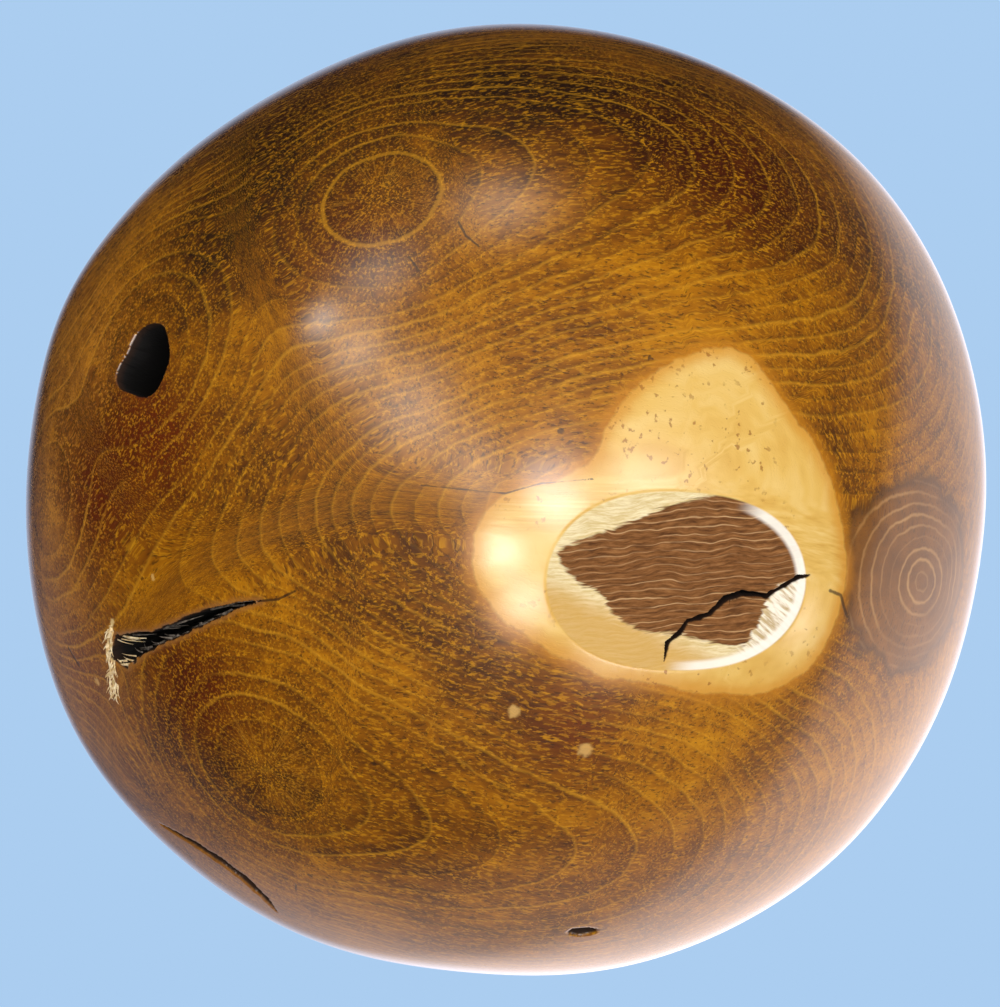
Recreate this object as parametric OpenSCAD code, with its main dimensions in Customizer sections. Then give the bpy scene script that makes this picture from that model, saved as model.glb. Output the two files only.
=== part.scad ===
// Solid ball worked out of a hardwood root. It was shaped by hand and so is a little
// uneven, it has the root's own knot hole and drying splits, and it stands on a small
// sawn flat. Directions from the ball's centre are given as an elevation above the
// horizon and a turn, anticlockwise seen from above, from the front (-Y), in degrees.

/* [Ball] */
// Mean diameter of the ball
ball_d = 150; // [90:1:300]
// Rise of the broadest swell left by hand shaping, which the others follow
swell_rise = 1.9; // [0:0.1:4]

/* [Sawn flat] */
// Length of the flat that the ball stands on
flat_l = 38; // [24:1:60]
// Turn of the flat's long axis
flat_turn = 160; // [0:1:180]
// Swell at both ends of the flat, and dip at both its sides, which make it oval
flat_oval = 1.1; // [0:0.1:1.6]

/* [Knot hole] */
// Elevation of the middle of the hole's mouth
hole_elevation = -22; // [-40:1:10]
// Turn of the middle of the hole's mouth
hole_turn = -2; // [-12:1:30]
// Width of the mouth
hole_w = 11; // [6:0.5:16]
// Height of the mouth
hole_h = 11.5; // [6:0.5:16]
// Depth of the hole below the surface
hole_depth = 24; // [8:1:32]
// Angle at which the hole climbs into the ball
hole_climb = 25; // [-30:1:40]

/* [Wide split] */
// Gap of the split at its open end
wide_split_gap = 5.2; // [2:0.2:7]
// Depth of the split below the surface
wide_split_depth = 13; // [4:1:20]

/* [Long split] */
// Gap of the split at its middle
long_split_gap = 2.6; // [1:0.2:4]
// Depth of the split below the surface
long_split_depth = 7; // [3:1:12]

/* [Drying check across the flat] */
// Gap of the check
check_gap = 0.9; // [0.4:0.1:2]
// Depth of the check above the flat
check_depth = 4; // [2:0.5:8]

/* [Pit] */
// Length of the eye-shaped pit
pit_l = 4.4; // [2:0.2:8]
// Width of the pit
pit_w = 2.6; // [1:0.2:5]
// Depth of the pit
pit_depth = 2; // [1:0.2:4]

/* [Hidden] */

BODY_BANDS = 44;
BODY_SIDES = 88;
HOLE_LEVELS = 7;
HOLE_SIDES = 20;
PIT_SIDES = 20;
// How far a cutting solid stands out of the wood
CUT_PROUD = 2;

// Swells of the hand-shaped surface, and dips where the share is negative:
// [elevation, turn, share of swell_rise, spread in degrees]
SWELLS = [
    [-17,  111,  1.00, 26],
    [  8,   37, -0.75, 20],
    [ 12,    0,  0.45, 11],
    [  4,  -52,  0.65, 16],
    [-15, -105, -0.75, 16],
    [-27, -156,  0.30, 15],
    [-28,  164, -0.25, 12],
    [ 52,   70,  0.55, 34],
    [ 40, -140, -0.50, 30],
    [ 66,  -60,  0.35, 24],
];
// Around the flat, a swell at each end and a dip at each side: share of flat_oval
FLAT_SWELLS = [1, -1, 1, -1];
FLAT_SWELL_ELEVATION = -72;
FLAT_SWELL_SPREAD = 14;

// Radius of the knot hole's mouth every 45 degrees from the right, as a share of the
// ellipse of hole_w by hole_h
MOUTH = [0.94, 0.94, 0.82, 1.20, 1.00, 1.12, 0.94, 0.85];

// Middle line of the wide split, from its open end: [elevation, turn, share of the gap]
WIDE_SPLIT = [
    [-20.4, -38.2, 0.35],
    [-22.0, -37.7, 1.00],
    [-25.4, -36.5, 0.72],
    [-28.6, -35.6, 0.42],
    [-31.6, -34.5, 0.46],
    [-35.0, -33.0, 0.40],
    [-38.4, -31.6, 0.34],
    [-41.6, -30.2, 0.16],
    [-44.6, -29.4, 0.03],
];
// Middle line of the long split, as above
LONG_SPLIT = [
    [-10.6, -61.8, 0.03],
    [-14.0, -63.2, 0.45],
    [-17.2, -65.2, 0.80],
    [-19.4, -68.0, 1.00],
    [-20.3, -71.2, 1.00],
    [-19.6, -74.8, 0.75],
    [-17.4, -78.2, 0.05],
];
// Zigzag of the drying check, as shares of half the flat's length: [x, y, share of the gap]
CHECK = [
    [ 0.49, 1.02, 0.05],
    [ 0.39, 0.86, 0.70],
    [ 0.17, 0.69, 0.80],
    [ 0.12, 0.51, 0.90],
    [ 0.03, 0.40, 1.00],
    [-0.12, 0.34, 1.00],
    [-0.23, 0.20, 0.80],
    [-0.34, 0.18, 0.90],
    [-0.43, 0.13, 0.80],
    [-0.58, 0.17, 0.05],
];
// Elevation and turn of the eye-shaped pit
PIT = [-42, -110.6];

function total(list) = list * [for (item = list) 1];
function unit(v) = v / norm(v);
function towards(elevation, turn) =
    [cos(elevation) * sin(turn), -cos(elevation) * cos(turn), sin(elevation)];

// Smooth bump of height 1 in one direction, which dies away over spread degrees
function bump(dir, middle, spread) = exp((dir * middle - 1) / (1 - cos(spread)));
function swells(dir) = swell_rise * total(
    [for (s = SWELLS) s[2] * bump(dir, towards(s[0], s[1]), s[3])]);
function flat_swells(dir) = flat_oval * total(
    [for (i = [0 : 3]) let (middle = towards(FLAT_SWELL_ELEVATION, flat_turn + 90 * i))
        FLAT_SWELLS[i] * bump(dir, middle, FLAT_SWELL_SPREAD)]);

// Distance from the ball's centre to its surface in one direction
function reach(dir) = ball_d / 2 + swells(dir) + flat_swells(dir);

// Half the angle that the flat fills, seen from the centre, and the centre's height,
// which puts both ends of the flat on the surface
flat_angle = asin(flat_l / ball_d);
centre_h = cos(flat_angle) / 2 * (
    reach(towards(flat_angle - 90, flat_turn))
    + reach(towards(flat_angle - 90, flat_turn + 180)));

// Triangles that join rings of points, one above the other, into a wall
function wall(rings, sides) = [
    for (i = [0 : rings - 2], j = [0 : sides - 1])
        let (k = (j + 1) % sides, low = i * sides, high = low + sides)
            each [[low + j, low + k, high + j], [low + k, high + k, high + j]]
];
// The same wall, with its first and last rings closed flat
function closed_wall(rings, sides) = concat(
    wall(rings, sides),
    [for (j = [1 : sides - 2]) [0, j + 1, j]],
    [for (j = [1 : sides - 2], last = [(rings - 1) * sides]) [last, last + j, last + j + 1]]);

// The hand-shaped ball about its centre, with nothing cut from it
module shaped_ball() {
    rings = BODY_BANDS - 1;
    points = [
        for (i = [1 : rings], j = [0 : BODY_SIDES - 1])
            let (dir = towards(180 * i / BODY_BANDS - 90, -360 * j / BODY_SIDES))
                reach(dir) * dir
    ];
    poles = [for (side = [-1, 1]) [0, 0, side * reach([0, 0, side])]];
    bottom = len(points);
    top_ring = bottom - BODY_SIDES;
    caps = [
        for (j = [0 : BODY_SIDES - 1])
            let (k = (j + 1) % BODY_SIDES)
                each [[bottom, k, j], [bottom + 1, top_ring + j, top_ring + k]]
    ];
    polyhedron(concat(points, poles), concat(wall(rings, BODY_SIDES), caps), convexity = 2);
}

// Wedge that tapers to an edge below a line of points. outs are the ways out of the wood.
module wedge(points, outs, gaps, depth) {
    last = len(points) - 1;
    rings = [
        for (i = [0 : last])
            let (
                along = points[min(i + 1, last)] - points[max(i - 1, 0)],
                across = unit(cross(outs[i], along)),
                deep = depth * sqrt(gaps[i] / max(gaps)),
                half = gaps[i] / 2 * (1 + CUT_PROUD / deep),
                top = points[i] + CUT_PROUD * outs[i])
                each [top - half * across, top + half * across, points[i] - deep * outs[i]]
    ];
    polyhedron(rings, closed_wall(last + 1, 3), convexity = 6);
}

module surface_split(line, gap, depth) {
    outs = [for (p = line) towards(p[0], p[1])];
    wedge([for (dir = outs) reach(dir) * dir], outs, [for (p = line) p[2] * gap], depth);
}

// Share of the mouth's ellipse at an angle, eased between the stated radii
function mouth(angle) =
    let (
        step = 360 / len(MOUTH),
        i = floor(angle / step),
        ease = (1 - cos(180 * (angle / step - i))) / 2)
        MOUTH[i % len(MOUTH)] * (1 - ease) + MOUTH[(i + 1) % len(MOUTH)] * ease;

// The hole narrows as it climbs into the ball, and ends blind
module knot_hole() {
    out = towards(hole_elevation, hole_turn);
    right = unit(cross(out, [0, 0, -1]));
    up = cross(out, right);
    way = sin(hole_climb) * up - cos(hole_climb) * out;
    start = reach(out) * out;
    rings = [
        for (i = [0 : HOLE_LEVELS - 1], j = [0 : HOLE_SIDES - 1])
            let (
                share = max(0, (i - 1) / (HOLE_LEVELS - 2)),
                size = cos(84 * pow(share, 1.6)) / 2,
                centre = start + (i == 0 ? CUT_PROUD * out : share * hole_depth * way),
                a = 360 * j / HOLE_SIDES)
                centre + size * mouth(a) * (hole_w * cos(a) * right + hole_h * sin(a) * up)
    ];
    polyhedron(rings, closed_wall(HOLE_LEVELS, HOLE_SIDES), convexity = 4);
}

module eye_pit() {
    out = towards(PIT[0], PIT[1]);
    translate(reach(out) * out)
        rotate([0, 90 - PIT[0], PIT[1] - 90])
            resize([pit_w, pit_l, 2 * pit_depth])
                sphere(d = pit_l, $fn = PIT_SIDES);
}

// Drying check, cut upwards from the flat
module check() {
    wedge(
        [for (p = CHECK) flat_l / 2 * [p[0], p[1], 0]],
        [for (p = CHECK) [0, 0, -1]],
        [for (p = CHECK) p[2] * check_gap],
        check_depth);
}

module below_flat() {
    translate([-ball_d, -ball_d, -ball_d])
        cube([2 * ball_d, 2 * ball_d, ball_d]);
}

module ball() {
    color("#9a6420")
    difference() {
        translate([0, 0, centre_h])
        difference() {
            shaped_ball();
            knot_hole();
            surface_split(WIDE_SPLIT, wide_split_gap, wide_split_depth);
            surface_split(LONG_SPLIT, long_split_gap, long_split_depth);
            eye_pit();
        }
        below_flat();
        check();
    }
}

ball();
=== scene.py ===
"""Polished ball of root wood, seen from below its sawn flat.

Places on the ball are directions from its centre, as (elevation, turn) in degrees:
elevation above the horizon, and turn anticlockwise seen from above, from the front (-Y).
Sizes are in millimetres until a mesh is made, and in metres from there on.
"""
import math
import random

import bmesh
import bpy
import numpy as np
from mathutils import Matrix, Vector, noise


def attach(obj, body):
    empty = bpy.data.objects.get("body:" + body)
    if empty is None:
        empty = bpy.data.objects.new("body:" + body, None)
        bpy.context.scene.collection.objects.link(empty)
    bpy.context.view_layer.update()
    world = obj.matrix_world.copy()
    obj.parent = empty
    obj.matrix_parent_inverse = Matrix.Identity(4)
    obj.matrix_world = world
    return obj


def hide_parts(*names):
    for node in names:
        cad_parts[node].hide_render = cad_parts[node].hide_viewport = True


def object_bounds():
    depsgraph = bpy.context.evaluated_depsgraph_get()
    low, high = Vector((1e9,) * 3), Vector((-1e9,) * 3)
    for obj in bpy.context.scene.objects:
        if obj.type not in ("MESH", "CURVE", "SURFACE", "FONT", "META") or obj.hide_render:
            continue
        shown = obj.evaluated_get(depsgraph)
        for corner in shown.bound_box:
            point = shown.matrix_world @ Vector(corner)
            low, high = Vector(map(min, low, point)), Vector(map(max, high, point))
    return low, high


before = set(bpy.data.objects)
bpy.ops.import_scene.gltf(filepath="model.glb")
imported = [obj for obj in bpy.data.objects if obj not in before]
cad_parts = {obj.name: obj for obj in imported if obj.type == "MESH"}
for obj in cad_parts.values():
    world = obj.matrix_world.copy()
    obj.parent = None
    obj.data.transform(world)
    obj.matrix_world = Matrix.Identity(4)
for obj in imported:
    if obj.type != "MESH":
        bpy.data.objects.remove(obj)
cad_low, cad_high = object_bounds()

MM = 0.001

# Form of the ball, as in the solid model
BALL_D = 150.0
SWELL_RISE = 1.9
SWELLS = [  # elevation, turn, share of the rise, spread in degrees
    (-17, 111, 1.00, 26),
    (8, 37, -0.75, 20),
    (12, 0, 0.45, 11),
    (4, -52, 0.65, 16),
    (-15, -105, -0.75, 16),
    (-27, -156, 0.30, 15),
    (-28, 164, -0.25, 12),
    (52, 70, 0.55, 34),
    (40, -140, -0.50, 30),
    (66, -60, 0.35, 24),
]
FLAT_L = 38.0
FLAT_TURN = 160
FLAT_OVAL = 1.1
FLAT_SWELLS = (1, -1, 1, -1)
FLAT_SWELL_ELEVATION = -72
FLAT_SWELL_SPREAD = 14

HOLE = dict(elevation=-22, turn=-2, w=11.0, h=11.5, depth=24.0, climb=25)
MOUTH = (0.94, 0.94, 0.82, 1.20, 1.00, 1.12, 0.94, 0.85)

WIDE_SPLIT = dict(gap=5.2, depth=13.0, line=[
    (-20.4, -38.2, 0.35), (-22.0, -37.7, 1.00), (-25.4, -36.5, 0.72),
    (-28.6, -35.6, 0.42), (-31.6, -34.5, 0.46), (-35.0, -33.0, 0.40),
    (-38.4, -31.6, 0.34), (-41.6, -30.2, 0.16), (-44.6, -29.4, 0.03)])
LONG_SPLIT = dict(gap=2.6, depth=7.0, line=[
    (-10.6, -61.8, 0.03), (-14.0, -63.2, 0.45), (-17.2, -65.2, 0.80),
    (-19.4, -68.0, 1.00), (-20.3, -71.2, 1.00), (-19.6, -74.8, 0.75),
    (-17.4, -78.2, 0.05)])
CHECK = dict(gap=0.9, depth=4.0, line=[  # shares of half the flat's length
    (0.49, 1.02, 0.05), (0.39, 0.86, 0.70), (0.17, 0.69, 0.80), (0.12, 0.51, 0.90),
    (0.03, 0.40, 1.00), (-0.12, 0.34, 1.00), (-0.23, 0.20, 0.80), (-0.34, 0.18, 0.90),
    (-0.43, 0.13, 0.80), (-0.58, 0.17, 0.05)])
PIT = dict(elevation=-42, turn=-110.6, l=4.4, w=2.6, depth=2.0)

# Growth of the root. Each limb's pith is a line of (elevation, turn, depth in mm),
# from where it leaves the ball to where it joins the crown.
LIMBS = [
    [(-35.4, 30.7, -4), (-35.7, 31.8, 3), (-36.6, 34.9, 8), (-38.1, 41.9, 12),
     (-39.6, 53.1, 16), (-39.9, 68.0, 20), (-40.6, 83.5, 25), (-44.5, 98.0, 34)],
    [(-38.3, -54.4, -4), (-39.0, -55.4, 3), (-41.1, -58.4, 8), (-47.1, -67.2, 13),
     (-52.2, -82.8, 17), (-55.4, -104.9, 21), (-55.3, -123.3, 28)],
    [(-5.3, -22.0, -2), (-9.0, -21.0, 8), (-18.1, -20.0, 22)],
    [(-22.0, -1.5, -3), (-20.0, -1.0, 10), (-17.0, 0.0, 26)],
]
LIMB_BLEND = 6.5
FIRST_RING = 8.3
RING_POWER = 1.9

# A side root cut across, with close rings of its own
KNOT = dict(line=[(-52.5, 161, -4), (-56, 160, 0), (-65, 155, 11), (-73, 140, 24)],
            radius=13.5, ring=1.6)

# Pale sapwood around the flat, and the brown heart patch on the flat, as outlines of
# (x, y) in mm on the plane of the flat, seen from the ball's centre
SAPWOOD = [
    (-9.5, -28.6), (-3.7, -29.7), (0.5, -28.4), (4.8, -23.2), (9.9, -18.5),
    (15.7, -18.4), (24.2, -16.5), (31.3, -10.8), (35.9, -3.5), (32.3, 3.6),
    (26.9, 12.1), (20.3, 19.0), (12.6, 23.5), (5.6, 25.9), (-1.4, 26.0),
    (-7.4, 22.2), (-11.2, 15.7), (-13.1, 8.7), (-14.5, 1.2), (-16.2, -5.9),
    (-15.8, -14.1), (-14.5, -21.1), (-12.8, -25.6)]
HEART_PATCH = [
    (-2.6, -17.8), (0.7, -14.2), (3.8, -11.0), (8.0, -6.7), (11.7, -1.9),
    (14.2, 2.9), (13.9, 8.6), (11.4, 14.2), (8.1, 16.2), (5.4, 14.5),
    (3.0, 13.4), (-0.3, 13.6), (-4.4, 12.8), (-5.8, 7.7), (-6.8, 2.4),
    (-8.1, -1.8), (-7.6, -6.9), (-5.7, -9.5), (-5.8, -13.0), (-4.6, -16.1)]

# Soft patches of tone: elevation, turn, spread in degrees, strength
DARK = [
    (-24, 15, 13, 1.0), (-16, 32, 14, 0.8), (-28, 50, 11, 0.6), (-29, 61, 12, 0.7),
    (-34, 71, 12, 0.8), (-41, 83, 11, 0.8), (-41, 98, 10, 0.6), (-20, 56, 12, 0.6),
    (-34, -42, 7, 0.9), (-28, -49, 7, 0.7), (-70, 155, 6, 1.0), (-60, -29, 7, 0.3),
    (-68, -44, 6, 0.4), (-73, -16, 5, 0.3), (-36, 31, 6, 0.3), (-20, -17, 7, 0.6),
    (-42, 25, 6, 0.5), (-62, 40, 6, 0.35), (-34, -59, 8, 0.3),
]
RED = [
    (-20, -19, 9, 1.0), (-29, -12, 7, 0.6), (-34, -42, 8, 0.8), (-41, 83, 12, 0.5),
    (-38, 24, 7, 0.5), (-71, -81, 6, 0.8), (-24, -7, 5, 0.6), (-13, -42, 8, 0.6),
    (-3, 37, 10, 0.4), (-56, -115, 9, 0.3), (-31, -9, 5, 0.5),
]
AMBER = [
    (-36, 4, 8, 0.9), (-62, 74, 8, 0.32), (-57, 62, 8, 0.17), (-49, 51, 6, 0.14),
    (-60, 124, 7, 0.9), (-59, -58, 8, 0.7), (-72, -134, 7, 1.0), (-57, 88, 8, 0.14),
    (-59, -80, 8, 0.5), (-62, -114, 8, 0.5), (-32, -30, 6, 0.5), (-47, -29, 5, 0.5),
    (-54, -163, 10, 0.8), (-63, -6, 6, 0.5), (-56, 28, 6, 0.4), (-24, 59, 4, 0.5),
]

# Thin dark checks: half width in mm, then (elevation, turn) along them
HAIRLINES = [
    (0.14, [(-60.7, -4.0), (-64.8, -1.4), (-69.0, 2.4), (-71.6, 10.5), (-75.4, 24.4)]),
    (0.22, [(-44.0, 37.1), (-46.0, 36.7), (-47.7, 37.3)]),
    (0.18, [(-44.2, 28.0), (-46.2, 27.6)]),
    (0.30, [(-72.1, 161.0), (-70.4, 162.4), (-69.7, 165.8), (-68.8, 168.8)]),
    (0.24, [(-12.6, -65.9), (-10.4, -69.0), (-8.7, -72.8)]),
    (0.35, [(-9.4, -38.6), (-11.4, -40.4)]),
    (0.22, [(-27.5, -74.5), (-28.6, -73.6)]),
    (0.20, [(-44.6, -29.4), (-46.8, -29.0), (-48.8, -27.6)]),
]
# Small spots: elevation, turn, radius in mm
PALE_SPOTS = [(-67.9, -63.9, 1.1), (-69.2, -89.1, 1.3), (-29.9, -27.6, 0.55), (-15.2, -42.0, 0.8)]
DARK_SPOTS = [(-51.4, -59.5, 0.45), (-69.5, 27.1, 0.6), (-32.4, -72.8, 0.5), (-66.0, 60.0, 0.4)]

# Where the lip of the wide split is torn pale, from inside the split outwards
TORN_LIP = [(-21.9, -33.8), (-20.2, -36.4), (-19.9, -39.3), (-19.1, -41.9), (-17.4, -44.2)]
TORN_WIDTH = 0.6

# What the varnish reflects. Walls: right, up and back shares of the way to them, where
# their edge starts and ends as the cosine from it, and their light
WALLS = [
    ((0.64, -0.28, -0.72), 0.66, 0.82, (1.00, 0.85, 0.82)),
    ((0.30, -0.74, -0.58), 0.60, 0.90, (0.68, 0.52, 0.45)),
    ((-0.50, -0.50, -0.70), 0.78, 1.00, (0.20, 0.17, 0.20)),
    ((0, 0, -1), 0.88, 1.00, (0.50, 0.62, 0.85)),
]
# Soft glows: elevation, turn, spread in degrees, strength, colour
SHEEN = (1.0, 0.91, 0.80)
GLARE = (1.0, 0.96, 0.94)
GLOWS = [
    (-9, 18, 4, 8.0, SHEEN), (-11, 32, 8, 3.4, SHEEN), (-9, 60, 9, 3.2, SHEEN),
    (-20, 17, 7, 5.5, SHEEN), (-38, 14, 10, 5.2, SHEEN), (-58, 15, 9, 4.4, SHEEN),
    (-69, 42, 6, 4.0, SHEEN), (-75, 62, 9, 15.0, GLARE), (-63, 110, 6, 9.0, GLARE),
    (-71, -25, 8, 13.0, GLARE), (-70, -82, 9, 11.0, GLARE), (-57, -140, 7, 8.0, GLARE),
    (-38, -178, 7, 5.0, GLARE),
]
# Share of the walls' and glows' light that the wood itself gets
ROOM_SHARE = 0.34

# The camera looks up at the ball's underside, from in front of it
CAMERA_AWAY = 500.0
CAMERA_BELOW = 69.6
CAMERA_ROLL = 24.5
CAMERA_LENS = 113.06
AIM_LEFT = 0.96


def srgb(red, green, blue):
    """A colour given as it looks on screen, 0 to 255, in linear light."""
    def linear(c):
        c /= 255
        return c / 12.92 if c <= 0.04045 else ((c + 0.055) / 1.055) ** 2.4
    return (linear(red), linear(green), linear(blue), 1.0)


def towards(elevation, turn):
    e, t = np.radians(elevation), np.radians(turn)
    return np.array([np.cos(e) * np.sin(t), -np.cos(e) * np.cos(t), np.sin(e)])


def unit(v):
    return v / np.linalg.norm(v, axis=-1, keepdims=True)


def bump(dirs, elevation, turn, spread):
    """Smooth bump of height 1 around one direction."""
    return np.exp((dirs @ towards(elevation, turn) - 1) / (1 - math.cos(math.radians(spread))))


def reach(dirs):
    """Distance from the ball's centre to its uncut surface."""
    r = np.full(dirs.shape[:-1], BALL_D / 2)
    for elevation, turn, share, spread in SWELLS:
        r += SWELL_RISE * share * bump(dirs, elevation, turn, spread)
    for i, sign in enumerate(FLAT_SWELLS):
        r += FLAT_OVAL * sign * bump(
            dirs, FLAT_SWELL_ELEVATION, FLAT_TURN + 90 * i, FLAT_SWELL_SPREAD)
    return r


FLAT_ANGLE = math.degrees(math.asin(FLAT_L / BALL_D))
CENTRE_H = math.cos(math.radians(FLAT_ANGLE)) / 2 * sum(
    float(reach(towards(FLAT_ANGLE - 90, FLAT_TURN + half))) for half in (0, 180))


def on_flat(dirs):
    """Where a line from the ball's centre meets the plane of the flat, as x and y."""
    down = np.minimum(dirs[..., 2:3], -0.2)
    return dirs[..., :2] * (CENTRE_H / -down)


def from_flat(x, y):
    return unit(np.array([x, y, -CENTRE_H]))


def to_segments(points, path):
    """Distance from each point to a path, and how far along it the nearest place is."""
    best = np.full(len(points), 1e9)
    along = np.zeros(len(points))
    nearest = np.zeros_like(points)
    travelled = 0.0
    which = np.zeros(len(points))
    for i, (a, b) in enumerate(zip(path[:-1], path[1:])):
        step = b - a
        t = np.clip(((points - a) @ step) / (step @ step), 0, 1)
        place = a + t[:, None] * step
        away = np.linalg.norm(points - place, axis=1)
        closer = away < best
        best[closer] = away[closer]
        nearest[closer] = place[closer]
        length = float(np.linalg.norm(step))
        along[closer] = travelled + t[closer] * length
        which[closer] = i + t[closer]
        travelled += length
    return best, nearest, along, which


def to_outline(flat_points, outline):
    """Signed distance to a closed outline, positive inside."""
    ring = np.array(outline, float)
    ends = np.roll(ring, -1, axis=0)
    away = np.full(len(flat_points), 1e9)
    inside = np.zeros(len(flat_points), bool)
    x, y = flat_points[:, 0], flat_points[:, 1]
    for a, b in zip(ring, ends):
        step = b - a
        t = np.clip(((flat_points - a) @ step) / (step @ step), 0, 1)
        away = np.minimum(away, np.linalg.norm(flat_points - a - t[:, None] * step, axis=1))
        crosses = (a[1] > y) != (b[1] > y)
        with np.errstate(divide="ignore", invalid="ignore"):
            at = a[0] + (y - a[1]) / (b[1] - a[1]) * (b[0] - a[0])
        inside ^= crosses & (x < at)
    return np.where(inside, away, -away)


def smooth_path(points, steps=6):
    """Even curve through the points."""
    pts = [np.asarray(p, float) for p in points]
    pts = [2 * pts[0] - pts[1]] + pts + [2 * pts[-1] - pts[-2]]
    out = []
    for p0, p1, p2, p3 in zip(pts, pts[1:], pts[2:], pts[3:]):
        for s in np.linspace(0, 1, steps, endpoint=False):
            out.append(0.5 * (
                2 * p1 + (p2 - p0) * s + (2 * p0 - 5 * p1 + 4 * p2 - p3) * s ** 2
                + (3 * p1 - p0 - 3 * p2 + p3) * s ** 3))
    return np.array(out + [pts[-2]])


def closed_smooth(outline, steps=5):
    pts = np.array(outline, float)
    n = len(pts)
    out = []
    for i in range(n):
        p0, p1, p2, p3 = pts[i - 1], pts[i], pts[(i + 1) % n], pts[(i + 2) % n]
        for s in np.linspace(0, 1, steps, endpoint=False):
            out.append(0.5 * (
                2 * p1 + (p2 - p0) * s + (2 * p0 - 5 * p1 + 4 * p2 - p3) * s ** 2
                + (3 * p1 - p0 - 3 * p2 + p3) * s ** 3))
    return np.array(out)


def rough(points, size, seed=0.0):
    """Soft noise from -1 to 1 with features of the given size in mm."""
    shift = Vector((seed, 3.1 * seed, -1.7 * seed))
    return np.array([noise.noise(Vector(p) / size + shift) for p in points.tolist()])


# Stage: camera, light, floor

def camera_axes():
    below = math.radians(CAMERA_BELOW)
    roll = math.radians(CAMERA_ROLL)
    back = Vector((0, -math.cos(below), -math.sin(below)))
    level = Vector((1, 0, 0))
    ahead = level.cross(back)
    right = ahead * math.cos(roll) + level * math.sin(roll)
    return right.normalized(), back.cross(right).normalized(), back


def add_camera(centre):
    right, up, back = camera_axes()
    data = bpy.data.cameras.new("camera")
    data.lens = CAMERA_LENS
    data.clip_start = 0.01
    camera = bpy.data.objects.new("camera", data)
    bpy.context.scene.collection.objects.link(camera)
    turn = Matrix((right, up, back)).transposed().to_4x4()
    aim = centre - right * AIM_LEFT * MM
    camera.matrix_world = Matrix.Translation(aim + back * CAMERA_AWAY * MM) @ turn
    bpy.context.scene.camera = camera


centre = Vector((0, 0, CENTRE_H * MM))
add_camera(centre)


class Nodes:
    """Adds nodes to a tree. An input is a number, a colour or another node's output."""

    def __init__(self, tree):
        self.tree = tree

    def add(self, kind, inputs=None, out=0, **settings):
        node = self.tree.nodes.new("ShaderNode" + kind)
        for name, value in settings.items():
            setattr(node, name, value)
        for name, value in (inputs or {}).items():
            if isinstance(value, bpy.types.NodeSocket):
                self.tree.links.new(value, node.inputs[name])
            else:
                node.inputs[name].default_value = value
        return node.outputs[out] if out is not None else node

    def math(self, operation, a, b=0.0, c=0.0, clamp=False):
        return self.add("Math", {0: a, 1: b, 2: c}, operation=operation, use_clamp=clamp)

    def vector(self, operation, a, b=(0, 0, 0), scale=1.0, out=0):
        inputs = {0: a, 3: scale} if operation == "SCALE" else {0: a, 1: b}
        return self.add("VectorMath", inputs, out=out, operation=operation)

    def mix(self, share, a, b, blend="MIX"):
        return self.add("Mix", {0: share, 6: a, 7: b}, out=2, data_type="RGBA", blend_type=blend)

    def ease(self, value, low, high, a=0.0, b=1.0):
        """Eases from a to b while value goes from low to high."""
        return self.add("MapRange", {0: value, 1: low, 2: high, 3: a, 4: b},
                        interpolation_type="SMOOTHSTEP")

    def noise(self, vector, scale, detail=2.0, roughness=0.5, distortion=0.0):
        return self.add("TexNoise", {
            "Vector": vector, "Scale": scale, "Detail": detail, "Roughness": roughness,
            "Distortion": distortion})

    def ramp(self, value, stops):
        node = self.add("ValToRGB", {0: value}, out=None)
        elements = node.color_ramp.elements
        while len(elements) < len(stops):
            elements.new(0.5)
        for element, (place, colour) in zip(elements, stops):
            element.position = place
            element.color = colour
        return node.outputs[0]

    def attribute(self, name, out="Fac"):
        return self.add("Attribute", out=out, attribute_name=name)


def set_world():
    """Pale blue behind the ball. Round it a dim room with pale walls and soft glows."""
    world = bpy.data.worlds.new("studio")
    bpy.context.scene.world = world
    world.use_nodes = True
    tree = world.node_tree
    tree.nodes.clear()
    n = Nodes(tree)
    right, up, back = camera_axes()
    away = n.add("TexCoord", out="Generated")
    surround = (0.012, 0.011, 0.012)
    for (to_right, to_up, to_back), start, end, light in WALLS:
        way = tuple(to_right * right + to_up * up + to_back * back)
        wall = n.ease(n.vector("DOT_PRODUCT", away, way, out=1), start, end)
        surround = n.vector("ADD", surround, n.vector("SCALE", light, scale=wall))
    for elevation, turn, spread, strength, colour in GLOWS:
        aim = n.vector("DOT_PRODUCT", away, tuple(towards(elevation, turn)), out=1)
        sharp = 1 / (1 - math.cos(math.radians(spread)))
        glow = n.math("EXPONENT", n.math("MULTIPLY_ADD", aim, sharp, -sharp))
        light = n.vector("SCALE", colour, scale=n.math("MULTIPLY", glow, strength))
        surround = n.vector("ADD", surround, light)
    soaked = n.math("MULTIPLY_ADD", n.add("LightPath", out="Is Diffuse Ray"), ROOM_SHARE - 1, 1.0)
    surround = n.vector("SCALE", surround, scale=soaked)
    seen = n.add("LightPath", out="Is Camera Ray")
    colour = n.mix(seen, surround, srgb(171, 205, 240))
    background = n.add("Background", {"Color": colour, "Strength": 1.0})
    n.add("OutputWorld", {"Surface": background}, out=None)


def area_light(name, towards_light, away, size, power, colour, twist=0):
    """A soft light in one direction from the ball, facing it."""
    data = bpy.data.lights.new(name, "AREA")
    data.shape = "RECTANGLE"
    data.size, data.size_y = size
    data.energy = power
    data.color = colour[:3]
    light = bpy.data.objects.new(name, data)
    bpy.context.scene.collection.objects.link(light)
    back = Vector(towards(*towards_light))
    turn = back.to_track_quat("Z", "Y").to_matrix().to_4x4()
    turn = turn @ Matrix.Rotation(math.radians(twist), 4, "Z")
    light.matrix_world = Matrix.Translation(centre + back * away) @ turn
    light.visible_glossy = False


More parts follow.
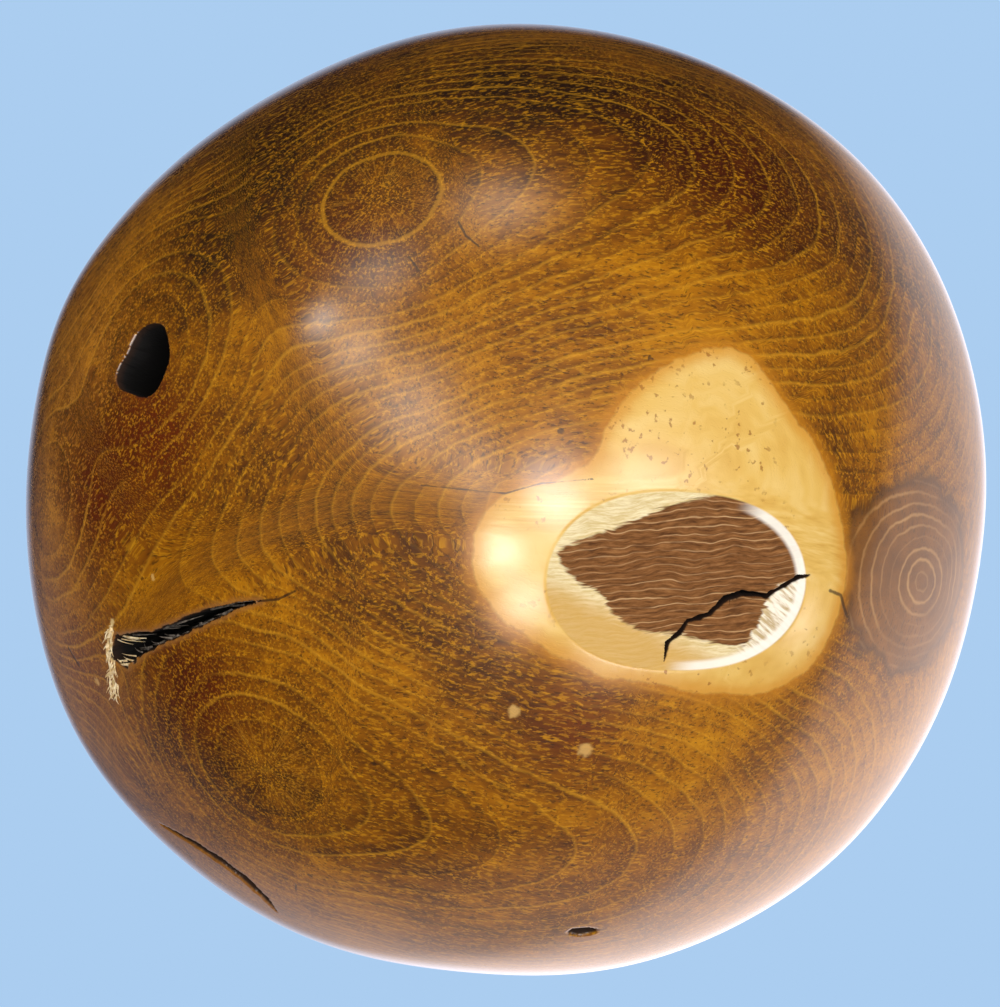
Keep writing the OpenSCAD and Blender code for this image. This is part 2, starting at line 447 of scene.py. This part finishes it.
def add_lights():
    area_light("window", (-52, 35), 0.75, (0.55, 0.42), 1.6, (1.0, 0.96, 0.90), 20)
    area_light("low window", (-52, -130), 0.9, (0.3, 0.3), 0.9, (1.0, 0.95, 0.92), 0)
    area_light("ceiling", (62, -30), 1.2, (0.9, 0.9), 17, (1.0, 0.98, 0.95), 0)


def add_floor():
    """Pale floor that shows only from above. It takes the ball's shadow but casts none."""
    mesh = bpy.data.meshes.new("floor")
    half = 3.0
    mesh.from_pydata([(-half, -half, 0), (half, -half, 0), (half, half, 0), (-half, half, 0)],
                     [], [(0, 1, 2, 3)])
    floor = bpy.data.objects.new("floor", mesh)
    bpy.context.scene.collection.objects.link(floor)
    floor.visible_shadow = False
    floor.visible_diffuse = False
    floor.visible_glossy = False
    floor.visible_transmission = False
    material = bpy.data.materials.new("pale floor")
    material.use_nodes = True
    material.node_tree.nodes.clear()
    n = Nodes(material.node_tree)
    below = n.add("NewGeometry", out="Backfacing")
    top = n.add("BsdfDiffuse", {"Color": srgb(226, 226, 224)})
    clear = n.add("BsdfTransparent")
    shader = n.add("MixShader", {0: below, 1: top, 2: clear})
    n.add("OutputMaterial", {"Surface": shader}, out=None)
    mesh.materials.append(material)


bpy.context.scene.view_settings.view_transform = "Standard"
set_world()
add_lights()
add_floor()


# The ball's mesh

def line_of(split):
    """A split's middle line on the surface, with the half gap at each point."""
    dirs = np.array([towards(e, t) for e, t, _ in split["line"]])
    return dirs * reach(dirs)[:, None], np.array([s for *_, s in split["line"]]) * split["gap"] / 2


def on_ball(line):
    """Points on the uncut surface along a line of (elevation, turn)."""
    dirs = np.array([towards(e, t) for e, t in line])
    return dirs * reach(dirs)[:, None]


def check_line():
    half = FLAT_L / 2
    points = np.array([(x * half, y * half, -CENTRE_H) for x, y, _ in CHECK["line"]])
    return points, np.array([s for *_, s in CHECK["line"]]) * CHECK["gap"] / 2


def hole_frame():
    out = towards(HOLE["elevation"], HOLE["turn"])
    right = unit(np.cross(out, [0, 0, -1]))
    up = np.cross(out, right)
    climb = math.radians(HOLE["climb"])
    return out, right, up, math.sin(climb) * up - math.cos(climb) * out


def hole_share(points):
    """Place across the hole's mouth: 0 in its middle, 1 at its rim."""
    out, right, up, _ = hole_frame()
    start = reach(out) * out
    x = (points - start) @ right / (HOLE["w"] / 2)
    y = (points - start) @ up / (HOLE["h"] / 2)
    step = 360 / len(MOUTH)
    place = (np.degrees(np.arctan2(y, x)) % 360) / step
    i = np.floor(place).astype(int) % len(MOUTH)
    ease = (1 - np.cos(np.pi * (place - np.floor(place)))) / 2
    radii = np.array(MOUTH)
    mouth = radii[i] * (1 - ease) + radii[(i + 1) % len(MOUTH)] * ease
    q = np.hypot(x, y) / mouth
    return np.where((points - start) @ out > -20, q, 99.0)


def edge_wanted(dirs):
    """Longest edge in mm that the mesh may have in each direction."""
    points = dirs * reach(dirs)[:, None]
    want = np.full(len(dirs), 1.6)
    for split, spare, fine in ((WIDE_SPLIT, 1.2, 0.36), (LONG_SPLIT, 1.0, 0.4)):
        path, half = line_of(split)
        away, _, _, which = to_segments(points, path)
        near = away < np.interp(which, range(len(half)), half) + spare
        want[near] = fine
    flat = np.concatenate([on_flat(dirs), np.full((len(dirs), 1), -CENTRE_H)], axis=1)
    below = dirs[:, 2] < -0.9
    path, half = check_line()
    away, *_ = to_segments(flat, path)
    want[below & (away < 1.0)] = 0.26
    rim = np.abs(points[:, 2] + CENTRE_H) < 0.16
    want[below & rim] = np.minimum(want[below & rim], 0.4)
    q = hole_share(points)
    want[q < 1.12] = 0.5
    want[(q > 0.85) & (q < 1.06)] = 0.3
    pit = np.linalg.norm(points - BALL_D / 2 * towards(PIT["elevation"], PIT["turn"]), axis=1)
    want[pit < 4] = 0.4
    for half_width, line in HAIRLINES + [(TORN_WIDTH, TORN_LIP)]:
        away, *_ = to_segments(points, on_ball(line))
        want[away < half_width + 0.5] = 0.34
    for limb in LIMBS[:2]:
        pith = np.degrees(np.arccos(np.clip(dirs @ towards(*limb[0][:2]), -1, 1)))
        want[(pith < 12) & (want > 0.8)] = 0.8
    return want


def ball_directions():
    """A round mesh, made finer where the ball has its splits, hole, flat and knots."""
    bm = bmesh.new()
    bmesh.ops.create_icosphere(bm, subdivisions=7, radius=1.0)
    for _ in range(3):
        ends = np.array([v.co[:] for e in bm.edges for v in e.verts]).reshape(-1, 2, 3)
        middles = unit(ends.mean(axis=1))
        lengths = np.linalg.norm(ends[:, 0] - ends[:, 1], axis=1) * BALL_D / 2
        long = lengths > edge_wanted(middles)
        edges = [e for e, cut in zip(bm.edges, long) if cut]
        bmesh.ops.subdivide_edges(bm, edges=edges, cuts=1, use_grid_fill=True,
                                  use_single_edge=True)
        bmesh.ops.triangulate(bm, faces=bm.faces[:])
        for v in bm.verts:
            v.co.normalize()
    mesh = bpy.data.meshes.new("ball")
    bm.to_mesh(mesh)
    bm.free()
    dirs = np.empty(len(mesh.vertices) * 3)
    mesh.vertices.foreach_get("co", dirs)
    return mesh, unit(dirs.reshape(-1, 3))


def cut_split(points, out, split, path, half, ragged):
    """Depth of a wedge-shaped split at each point, in mm."""
    away, _, along, which = to_segments(points, path)
    gap = np.interp(which, range(len(half)), half)
    near = away < gap + 1.5
    depth = np.zeros(len(points))
    uneven = np.zeros(len(points))
    uneven[near] = rough(points[near], 1.6, 4.0) + 0.5 * rough(points[near], 0.6, 9.0)
    gap = gap * (1 + ragged * uneven)
    deep = split["depth"] * np.sqrt(np.clip(gap, 0, None) / half.max())
    inside = near & (away < gap)
    depth[inside] = deep[inside] * (1 - away[inside] / gap[inside])
    return depth, away - gap


def shape_ball(dirs):
    """Cuts the flat, the hole and the splits. Returns points and depth of cut."""
    points = dirs * reach(dirs)[:, None]
    _, _, _, way = hole_frame()
    cut = np.zeros(len(dirs))

    low = points[:, 2] < -CENTRE_H
    points[low] *= (-CENTRE_H / points[low, 2])[:, None]
    rim = (-CENTRE_H - dirs[:, 2] * reach(dirs)) / 0.25
    flat = rim

    q = hole_share(dirs * reach(dirs)[:, None])
    inside = q < 1
    share = (np.degrees(np.arccos(np.clip(q[inside], 0, 1))) / 84) ** (1 / 1.6)
    share = np.clip(share, 0, 1)
    points[inside] += (share * HOLE["depth"])[:, None] * way
    cut[inside] = share * HOLE["depth"]

    for split in (WIDE_SPLIT, LONG_SPLIT):
        path, half = line_of(split)
        depth, _ = cut_split(dirs * reach(dirs)[:, None], dirs, split, path, half, 0.25)
        points -= depth[:, None] * dirs
        cut = np.maximum(cut, depth)

    path, half = check_line()
    depth, _ = cut_split(points, dirs, CHECK, path, half, 0.5)
    depth[dirs[:, 2] > -0.9] = 0
    points[:, 2] += depth
    cut = np.maximum(cut, depth)

    out = towards(PIT["elevation"], PIT["turn"])
    level = unit(np.cross([0, 0, 1], out))
    rise = np.cross(out, level)
    off = dirs * reach(dirs)[:, None] - reach(out) * out
    u = off @ level / (PIT["l"] / 2)
    v = off @ rise / (PIT["w"] / 2)
    bowl = np.sqrt(np.clip(1 - u * u - v * v, 0, 1)) * PIT["depth"]
    bowl[dirs @ out < 0.9] = 0
    points -= bowl[:, None] * dirs
    cut = np.maximum(cut, bowl)
    return points, cut, flat


def growth(points):
    """Distance from the pith, the way out from it, and place along the grain."""
    weights, aways, rays, grains = [], [], [], []
    for limb in LIMBS:
        away, ray, grain = around(points, limb)
        weights.append(np.exp(-away / LIMB_BLEND))
        rays.append(ray)
        grains.append(grain)
    total = sum(weights)
    away = -LIMB_BLEND * np.log(total)
    ray = sum(w[:, None] * r for w, r in zip(weights, rays)) / total[:, None]
    sharp = [w ** 3 for w in weights]
    grain = sum(w[:, None] * g for w, g in zip(sharp, grains)) / sum(sharp)[:, None]
    return away, ray, grain


def around(points, limb):
    """Distance from one limb's pith, the way out from it, and place along its grain."""
    path = smooth_path([towards(e, t) * (BALL_D / 2 - depth) for e, t, depth in limb])
    away, nearest, along, _ = to_segments(points, path)
    off = points - nearest
    ahead = unit(np.gradient(path, axis=0))
    which = np.argmin(np.linalg.norm(nearest[:, None] - path[None, ::3], axis=2), axis=1) * 3
    tangent = ahead[np.clip(which, 0, len(ahead) - 1)]
    return away, off / np.maximum(away, 0.5)[:, None], off + tangent * along[:, None] / 5


def skin_slope(ray, dirs):
    """How fast distance from the pith changes along the surface, from 0 to 1."""
    return np.linalg.norm(ray - (ray * dirs).sum(axis=1, keepdims=True) * dirs, axis=1)


def nearest_line(points, lines):
    """Distance to the nearest of some lines, as a share of that line's half width."""
    return np.min([to_segments(points, on_ball(line))[0] / half for half, line in lines], axis=0)


def lip_of(points, split):
    """Distance outside the edge of a split, in mm."""
    path, half = line_of(split)
    away, _, _, which = to_segments(points, path)
    return away - np.interp(which, range(len(half)), half)


def patches(dirs, spots):
    return sum(strength * bump(dirs, e, t, spread) for e, t, spread, strength in spots)


def give(mesh, name, values):
    values = np.asarray(values, float)
    if values.ndim == 1:
        mesh.attributes.new(name, "FLOAT", "POINT").data.foreach_set("value", values)
    else:
        layer = mesh.attributes.new(name, "FLOAT_VECTOR", "POINT")
        layer.data.foreach_set("vector", values.ravel())


def build_ball():
    mesh, dirs = ball_directions()
    whole = dirs * reach(dirs)[:, None]
    points, cut, flat = shape_ball(dirs)
    away, ray, grain = growth(points)
    near_pith = np.maximum(away, 0.01) / FIRST_RING
    knot_away, knot_ray, knot_grain = around(points, KNOT["line"])
    flats = on_flat(dirs)
    under = dirs[:, 2] < -0.2

    give(mesh, "ring", near_pith ** RING_POWER)
    slope = RING_POWER * near_pith ** (RING_POWER - 1) / FIRST_RING
    give(mesh, "slope", np.maximum(slope * skin_slope(ray, dirs), 0.02))
    give(mesh, "away", away)
    give(mesh, "ray", ray)
    give(mesh, "grain", grain * MM)
    give(mesh, "knot", KNOT["radius"] - knot_away)
    give(mesh, "knot_ring", knot_away / KNOT["ring"])
    give(mesh, "knot_slope", np.maximum(skin_slope(knot_ray, dirs), 0.1) / KNOT["ring"])
    give(mesh, "sap", np.where(under, to_outline(flats, closed_smooth(SAPWOOD)), -40.0))
    give(mesh, "heart", np.where(under, to_outline(flats, closed_smooth(HEART_PATCH)), -40.0))
    give(mesh, "flat", flat)
    give(mesh, "cut", cut)
    give(mesh, "hair", nearest_line(whole, HAIRLINES))
    give(mesh, "torn", nearest_line(whole, [(TORN_WIDTH, TORN_LIP)]))
    give(mesh, "lip", np.minimum(lip_of(whole, WIDE_SPLIT), lip_of(whole, LONG_SPLIT)))
    give(mesh, "mouth", hole_share(whole))
    give(mesh, "dark", patches(dirs, DARK))
    give(mesh, "red", patches(dirs, RED))
    give(mesh, "amber", patches(dirs, AMBER))
    give(mesh, "bold", bump(dirs, *LIMBS[0][0][:2], 13))
    give(mesh, "pith", sum(bump(dirs, *limb[0][:2], 12) for limb in LIMBS[:2]))

    # Curves may pass the facets of the solid model by a few hundredths of a millimetre
    seen = points * MM + np.array([0, 0, CENTRE_H * MM])
    seen = np.clip(seen, np.array(cad_low), np.array(cad_high))
    mesh.vertices.foreach_set("co", seen.ravel())
    for polygon in mesh.polygons:
        polygon.use_smooth = True
    mesh.update()
    ball = bpy.data.objects.new("root_ball", mesh)
    bpy.context.scene.collection.objects.link(ball)
    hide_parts("ball")
    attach(ball, "root")
    return ball


def add_sliver(bm, start, end, radius, arch, kind):
    """Thin torn fibre from start to end, in mm, arched outwards, thinner to its tip."""
    ahead = unit(end - start)
    out = unit(start)
    level = unit(np.cross(ahead, out))
    rise = np.cross(level, ahead)
    rings = []
    for s in np.linspace(0, 1, 6):
        middle = start + (end - start) * s + out * arch * math.sin(math.pi * s)
        wide = radius * (1 - 0.85 * s)
        rings.append([bm.verts.new(Vector(
            (middle + wide * (math.cos(a) * level + 0.6 * math.sin(a) * rise)) * MM)
            + Vector((0, 0, CENTRE_H * MM))) for a in np.linspace(0, 2 * math.pi, 6)[:-1]])
    for low_ring, high_ring in zip(rings, rings[1:]):
        for i in range(5):
            j = (i + 1) % 5
            bm.faces.new((low_ring[i], low_ring[j], high_ring[j], high_ring[i]))
    bm.faces.new(rings[0][::-1])
    bm.faces.new(rings[-1])
    for face in bm.faces[-27:]:
        face.material_index = kind


def split_fibres():
    """Torn fibres of the wide split: pale ones round its open end, dark ones inside."""
    pick = random.Random(11)
    bm = bmesh.new()
    path, half = line_of(WIDE_SPLIT)
    for _ in range(54):
        at = pick.uniform(0.3, len(half) - 1.8)
        i = int(at)
        place = path[i] + (path[i + 1] - path[i]) * (at - i)
        gap = float(np.interp(at, range(len(half)), half))
        ahead = unit(path[i + 1] - path[i]) * pick.choice((-1, 1))
        out = unit(place)
        across = np.cross(out, ahead)
        start = place + across * gap * pick.uniform(0.6, 1.0) - out * pick.uniform(0.3, 1.6)
        end = start + ahead * pick.uniform(1.6, 5.0) - across * gap * pick.uniform(0.0, 0.9)
        end = end - out * pick.uniform(0.2, 1.6)
        add_sliver(bm, start, end, pick.uniform(0.10, 0.24), 0.2, 0 if at < 1.6 else 1)
    lip = smooth_path(list(on_ball(TORN_LIP)), 6)
    for _ in range(46):
        i = pick.randrange(len(lip) - 3)
        out = unit(lip[i])
        ahead = unit(lip[i + 3] - lip[i])
        across = np.cross(out, ahead)
        start = lip[i] + across * pick.uniform(-1.0, 1.0) - out * 0.15
        end = start + ahead * pick.uniform(0.8, 3.0) + across * pick.uniform(-1.4, 1.4)
        end = unit(end) * (np.linalg.norm(start) + pick.uniform(0.2, 0.7))
        add_sliver(bm, start, end, pick.uniform(0.12, 0.30), 0.25, 0)
    mesh = bpy.data.meshes.new("split_fibres")
    bm.to_mesh(mesh)
    bm.free()
    for polygon in mesh.polygons:
        polygon.use_smooth = True
    fibres = bpy.data.objects.new("split_fibres", mesh)
    bpy.context.scene.collection.objects.link(fibres)
    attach(fibres, "root")
    return fibres


# Finish

def node_group(name, inputs, outputs):
    """A shader node group with named sockets: its tree, its nodes, its inputs and outputs."""
    tree = bpy.data.node_groups.new(name, "ShaderNodeTree")
    for socket, kind, value in inputs:
        made = tree.interface.new_socket(socket, in_out="INPUT", socket_type="NodeSocket" + kind)
        if value is not None:
            made.default_value = value
    for socket, kind in outputs:
        tree.interface.new_socket(socket, in_out="OUTPUT", socket_type="NodeSocket" + kind)
    given = tree.nodes.new("NodeGroupInput").outputs
    made = tree.nodes.new("NodeGroupOutput").inputs
    return tree, Nodes(tree), given, made


def growth_rings():
    """Thin ring lines of even width, each as bold as chance has it, and place in each ring."""
    tree, n, given, made = node_group("Growth rings", [
        ("Ring", "Float", 0.0), ("Slope", "Float", 1.0), ("Line Width", "Float", 0.4),
        ("Waver", "Float", 0.4)], [("Line", "Float"), ("Place", "Float")])
    place = n.add("TexCoord", out="Object")
    waver = n.math("SUBTRACT", n.noise(place, 110, 3), 0.5)
    fine = n.math("SUBTRACT", n.noise(place, 800, 1), 0.5)
    waver = n.math("MULTIPLY_ADD", fine, 0.16, waver)
    shift = n.math("MULTIPLY", given["Waver"], n.math("MINIMUM", given["Slope"], 0.7))
    ring = n.math("MULTIPLY_ADD", waver, shift, given["Ring"])
    share = n.math("FRACT", ring)
    edge = n.math("MINIMUM", share, n.math("SUBTRACT", 1.0, share))
    across = n.math("DIVIDE", edge, given["Slope"])
    number = n.math("FLOOR", n.math("ADD", ring, 0.5))
    chance = n.add("TexWhiteNoise", {"W": number}, noise_dimensions="1D")
    bold = n.math("MULTIPLY_ADD", chance, 0.75, 0.25)
    patchy = n.ease(n.noise(place, 55, 2), 0.34, 0.62, 0.15, 1.0)
    width = n.math("MULTIPLY", given["Line Width"], n.math("MULTIPLY_ADD", chance, 0.6, 0.7))
    line = n.ease(across, 0.0, width, 1.0, 0.0)
    line = n.math("MULTIPLY", line, n.math("MULTIPLY", bold, patchy))
    tree.links.new(line, made["Line"])
    tree.links.new(share, made["Place"])
    return tree


def pores():
    """Open pores of ring-porous wood, drawn out along the grain."""
    tree, n, given, made = node_group("Pores", [
        ("Grain", "Vector", None)], [("Pale", "Float"), ("Dark", "Float")])
    pale = n.noise(given["Grain"], 2500, 2, 0.65)
    dark = n.noise(n.vector("ADD", given["Grain"], (0.3, 0.1, 0.2)), 2700, 2, 0.65)
    tree.links.new(n.ease(pale, 0.50, 0.64), made["Pale"])
    tree.links.new(n.ease(dark, 0.53, 0.66), made["Dark"])
    return tree


def ringed(n, ring, slope, waver, width, tree):
    node = n.add("Group", {"Ring": n.attribute(ring), "Slope": n.attribute(slope),
                           "Waver": waver, "Line Width": width}, out=None, node_tree=tree)
    return node.outputs["Line"], node.outputs["Place"]


def heartwood(n, place, grain, pore, rings):
    """Brown varnished wood with pale ring lines, fine rays and pores."""
    line, share = ringed(n, "ring", "slope", 2.2, 0.36, rings)
    cloudy = n.noise(place, 26, 3, 0.6)
    streak = n.noise(grain, 170, 3, 0.65)
    fine = n.noise(grain, 620, 2, 0.6)
    tone = n.math("MULTIPLY_ADD", cloudy, 0.85, -0.18)
    tone = n.math("MULTIPLY_ADD", streak, 0.65, tone)
    tone = n.math("MULTIPLY_ADD", fine, 0.50, n.math("SUBTRACT", tone, 0.35))
    tone = n.math("MULTIPLY_ADD", n.math("POWER", share, 3.0), -0.16, tone)
    tone = n.math("MULTIPLY_ADD", n.attribute("dark"), -0.30, tone)
    tone = n.math("MULTIPLY_ADD", n.attribute("amber"), 0.17, tone)
    colour = n.ramp(tone, [
        (0.0, srgb(30, 13, 3)), (0.22, srgb(74, 39, 6)), (0.44, srgb(122, 72, 8)),
        (0.66, srgb(166, 106, 8)), (1.0, srgb(208, 146, 18))])
    red = n.math("MULTIPLY", n.attribute("red"), n.ease(cloudy, 0.2, 0.6, 0.4, 0.85), clamp=True)
    colour = n.mix(red, colour, srgb(88, 26, 3))
    colour = n.mix(n.math("MULTIPLY", pore["Dark"], 0.72), colour, srgb(52, 26, 4))
    rows = n.ease(share, 0.0, 0.5, 0.72, 0.42)
    colour = n.mix(n.math("MULTIPLY", pore["Pale"], rows), colour, srgb(202, 142, 22))
    spokes = n.ease(n.noise(n.attribute("ray", "Vector"), 34, 2), 0.54, 0.64)
    spokes = n.math("MULTIPLY", spokes, n.ease(n.attribute("away"), 3.0, 16.0, 0.42, 0.0))
    spokes = n.math("MULTIPLY", spokes, n.attribute("pith"))
    colour = n.mix(spokes, colour, srgb(196, 140, 44))
    first = n.math("SUBTRACT", n.attribute("away"), FIRST_RING)
    first = n.math("MULTIPLY_ADD", n.noise(place, 260, 2), 1.0, first)
    first = n.ease(n.math("ABSOLUTE", n.math("SUBTRACT", first, 0.5)), 0.08, 0.5, 1.0, 0.0)
    first = n.math("MULTIPLY", first, n.attribute("bold"))
    line = n.math("MAXIMUM", n.math("MULTIPLY", line, 0.55), n.math("MULTIPLY", first, 0.6))
    return n.mix(line, colour, srgb(206, 148, 34))


def knot_wood(n, place, pore, rings, colour):
    """The side root: close pale rings of its own inside a darker border."""
    line, share = ringed(n, "knot_ring", "knot_slope", 2.4, 0.34, rings)
    edge = n.math("MULTIPLY_ADD", n.noise(place, 110, 2, 0.6), 9.0, n.attribute("knot"))
    edge = n.math("SUBTRACT", edge, 4.5)
    inner = n.mix(n.noise(place, 240, 2, 0.65), srgb(84, 50, 16), srgb(152, 100, 40))
    inner = n.mix(n.math("MULTIPLY", pore["Dark"], 0.5), inner, srgb(52, 30, 12))
    inner = n.mix(n.math("MULTIPLY", line, 0.75), inner, srgb(206, 160, 100))
    border = n.ease(n.math("ABSOLUTE", edge), 0.0, 1.6, 0.55, 0.0)
    colour = n.mix(n.ease(edge, -0.3, 0.3), colour, inner)
    return n.mix(border, colour, srgb(58, 34, 12))


def sapwood(n, place, grain, colour):
    """Cream sapwood round the flat, with an amber edge and brown specks."""
    edge = n.math("SUBTRACT", n.noise(place, 150, 4, 0.6), 0.5)
    edge = n.math("MULTIPLY_ADD", edge, 3.2, n.attribute("sap"))
    cream = n.ramp(n.noise(grain, 230, 2, 0.6), [
        (0.25, srgb(212, 164, 74)), (0.5, srgb(228, 188, 100)), (0.8, srgb(240, 210, 136))])
    cream = n.mix(n.ease(edge, 0.2, 3.4, 0.75, 0.0), cream, srgb(206, 144, 44))
    specks = n.ease(n.noise(place, 900, 2), 0.62, 0.70)
    specks = n.math("MULTIPLY", specks, n.ease(n.noise(place, 80, 2), 0.42, 0.62, 0.0, 0.75))
    cream = n.mix(specks, cream, srgb(150, 92, 30))
    rim = n.math("MULTIPLY", n.ease(edge, -2.6, -0.2, 0.0, 0.6), n.ease(edge, -0.2, 0.2, 1.0, 0.0))
    colour = n.mix(rim, colour, srgb(190, 124, 28))
    return n.mix(n.ease(edge, -0.35, 0.35), colour, cream)


def raw_flat(n, place):
    """Bare sawn flat: brown heart with pale wavy lines, ochre and white sapwood round it, and a painted
    highlight along one side of its rim.
    """
    mm = n.vector("SCALE", place, scale=1000.0)
    x, y, _ = n.add("SeparateXYZ", {0: mm}, out=None).outputs
    wave = n.math("MULTIPLY", n.math("SUBTRACT", n.noise(place, 140, 2), 0.5), 2.6)
    across = n.math("ADD", n.vector("DOT_PRODUCT", mm, (-0.899, 0.438, 0), out=1), wave)
    along = n.vector("DOT_PRODUCT", mm, (0.438, 0.899, 0), out=1)
    fibre = n.add("CombineXYZ", {"X": across, "Y": n.math("MULTIPLY", along, 0.12)})
    streak = n.noise(fibre, 2.4, 3, 0.7)
    heart = n.ramp(streak, [
        (0.3, srgb(78, 46, 20)), (0.5, srgb(120, 78, 40)), (0.75, srgb(160, 112, 66))])
    line_place = n.math("DIVIDE", across, 1.05)
    share = n.math("FRACT", line_place)
    edge = n.math("MINIMUM", share, n.math("SUBTRACT", 1.0, share))
    chance = n.add("TexWhiteNoise", {"W": n.math("FLOOR", n.math("ADD", line_place, 0.5))},
                   noise_dimensions="1D")
    line = n.math("MULTIPLY", n.ease(edge, 0.02, 0.11, 1.0, 0.0),
                  n.math("MULTIPLY_ADD", chance, 0.7, 0.3))
    line = n.math("MULTIPLY", line, n.ease(n.noise(fibre, 1.2, 3), 0.35, 0.55))
    heart = n.mix(n.math("MULTIPLY", line, 0.8), heart, srgb(212, 176, 130))

    pale = n.mix(n.ease(streak, 0.3, 0.7), srgb(214, 190, 130), srgb(244, 232, 192))
    ochre = n.math("MULTIPLY", n.ease(x, -9.5, -5.5, 1.0, 0.0), n.ease(y, 9.0, 13.0, 1.0, 0.0))
    pale = n.mix(n.math("MULTIPLY", ochre, 0.8), pale, srgb(206, 160, 76))
    rib_place = n.add("CombineXYZ", {"X": n.math("ADD", x, n.math("MULTIPLY", y, 0.25)),
                                     "Y": n.math("MULTIPLY", y, 0.16)})
    rib = n.noise(rib_place, 1.5, 3, 0.6)
    ribbed = n.math("MULTIPLY", n.ease(y, 11.0, 15.0), n.ease(x, -13.0, -8.0))
    white = n.mix(n.ease(rib, 0.35, 0.6), srgb(196, 172, 128), srgb(252, 246, 230))
    pale = n.mix(ribbed, pale, white)
    ragged = n.math("MULTIPLY_ADD", n.noise(fibre, 2.0, 2, 0.7), 2.2, n.attribute("heart"))
    in_heart = n.ease(ragged, 0.8, 1.4)
    raw = n.mix(in_heart, pale, heart)
    flat = n.attribute("flat")
    # Painted highlight: a near-white glint along the rim of the flat, where y is above about 3 to 8 mm.
    painted_rim_highlight = n.math("MULTIPLY", n.ease(flat, 0.9, 1.5, 1.0, 0.0), n.ease(y, 3.0, 8.0))
    raw = n.mix(n.math("MULTIPLY", painted_rim_highlight, 0.9), raw, srgb(253, 249, 238))
    height = n.mix(in_heart, n.mix(ribbed, n.math("MULTIPLY", streak, 0.4), rib), streak)
    return raw, height


def root_wood():
    material = bpy.data.materials.new("varnished root wood")
    material.use_nodes = True
    material.node_tree.nodes.clear()
    n = Nodes(material.node_tree)
    place = n.add("TexCoord", out="Object")
    grain = n.attribute("grain", "Vector")
    pore = n.add("Group", {"Grain": grain}, out=None, node_tree=pores()).outputs
    rings = growth_rings()

    wood = heartwood(n, place, grain, pore, rings)
    wood = knot_wood(n, place, pore, rings, wood)
    wood = sapwood(n, place, grain, wood)
    raw, raw_height = raw_flat(n, place)
    bare = n.ease(n.attribute("flat"), 0.0, 0.3)
    colour = n.mix(bare, wood, raw)

    jitter = n.math("MULTIPLY_ADD", n.noise(place, 900, 2), 0.9, -0.45)
    lip = n.math("ADD", n.attribute("lip"), jitter)
    colour = n.mix(n.ease(lip, 0.1, 1.0, 0.75, 0.0), colour, srgb(150, 100, 46))
    torn = n.math("ADD", n.attribute("torn"), jitter)
    shreds = n.math("MULTIPLY_ADD", n.noise(place, 420, 3, 0.7), 3.2, torn)
    colour = n.mix(n.ease(shreds, 1.7, 2.3, 0.9, 0.0), colour, srgb(226, 198, 140))
    wobble = n.vector("ADD", place, n.vector("SCALE", n.vector("SUBTRACT", n.add(
        "TexNoise", {"Vector": place, "Scale": 1100.0}, out="Color"), (0.5, 0.5, 0.5)), scale=0.0012))
    for spots, paint in ((PALE_SPOTS, srgb(212, 170, 100)), (DARK_SPOTS, srgb(40, 22, 10))):
        for elevation, turn, radius in spots:
            middle = on_ball([(elevation, turn)])[0] * MM + np.array([0, 0, CENTRE_H * MM])
            away = n.vector("DISTANCE", wobble, tuple(middle), out=1)
            spot = n.ease(away, radius * 0.5 * MM, radius * 1.05 * MM, 0.8, 0.0)
            colour = n.mix(spot, colour, paint)
    hair = n.ease(n.math("ADD", n.attribute("hair"), jitter), 0.4, 1.2, 0.8, 0.0)
    colour = n.mix(hair, colour, srgb(34, 20, 12))
    cut = n.attribute("cut")
    # Painted shade: the hole, the splits, the check and the pit turn dark brown at their edges and near
    # black with the depth of cut.
    colour = n.mix(n.ease(cut, 0.02, 0.5), colour, srgb(40, 24, 14))
    colour = n.mix(n.ease(cut, 0.3, 3.0), colour, srgb(9, 8, 8))

    gloss = n.math("SUBTRACT", 1.0, n.math("MAXIMUM", bare, n.ease(cut, 0.05, 0.6)))
    skin = n.math("MULTIPLY_ADD", pore["Dark"], -0.5, n.math("MULTIPLY", pore["Pale"], 0.25))
    skin = n.math("MULTIPLY_ADD", hair, -3.0, skin)
    height = n.mix(bare, skin, n.math("MULTIPLY", raw_height, 4.0))
    normal = n.add("Bump", {"Height": height, "Strength": 0.35, "Distance": 0.00012})
    shader = n.add("BsdfPrincipled", {
        "Base Color": colour, "Roughness": n.math("MULTIPLY_ADD", gloss, -0.42, 0.88),
        "Specular IOR Level": 0.3, "Coat Weight": gloss, "Coat Roughness": 0.10, "Normal": normal}, out=0)
    n.add("OutputMaterial", {"Surface": shader}, out=None)
    return material


def torn_wood(name, low_tone, high_tone):
    material = bpy.data.materials.new(name)
    material.use_nodes = True
    material.node_tree.nodes.clear()
    n = Nodes(material.node_tree)
    place = n.add("TexCoord", out="Object")
    grain = n.noise(place, 1300, 3, 0.6)
    normal = n.add("Bump", {"Height": grain, "Strength": 0.5, "Distance": 0.0002})
    shader = n.add("BsdfPrincipled", {
        "Base Color": n.mix(n.ease(grain, 0.3, 0.7), low_tone, high_tone),
        "Roughness": 0.75, "Normal": normal}, out=0)
    n.add("OutputMaterial", {"Surface": shader}, out=None)
    return material


ball = build_ball()
ball.data.materials.append(root_wood())
fibres = split_fibres()
fibres.data.materials.append(torn_wood("torn pale wood", srgb(206, 172, 112), srgb(246, 232, 196)))
fibres.data.materials.append(torn_wood("weathered fibres", srgb(34, 28, 24), srgb(128, 120, 110)))
print("triangles", len(ball.data.polygons))
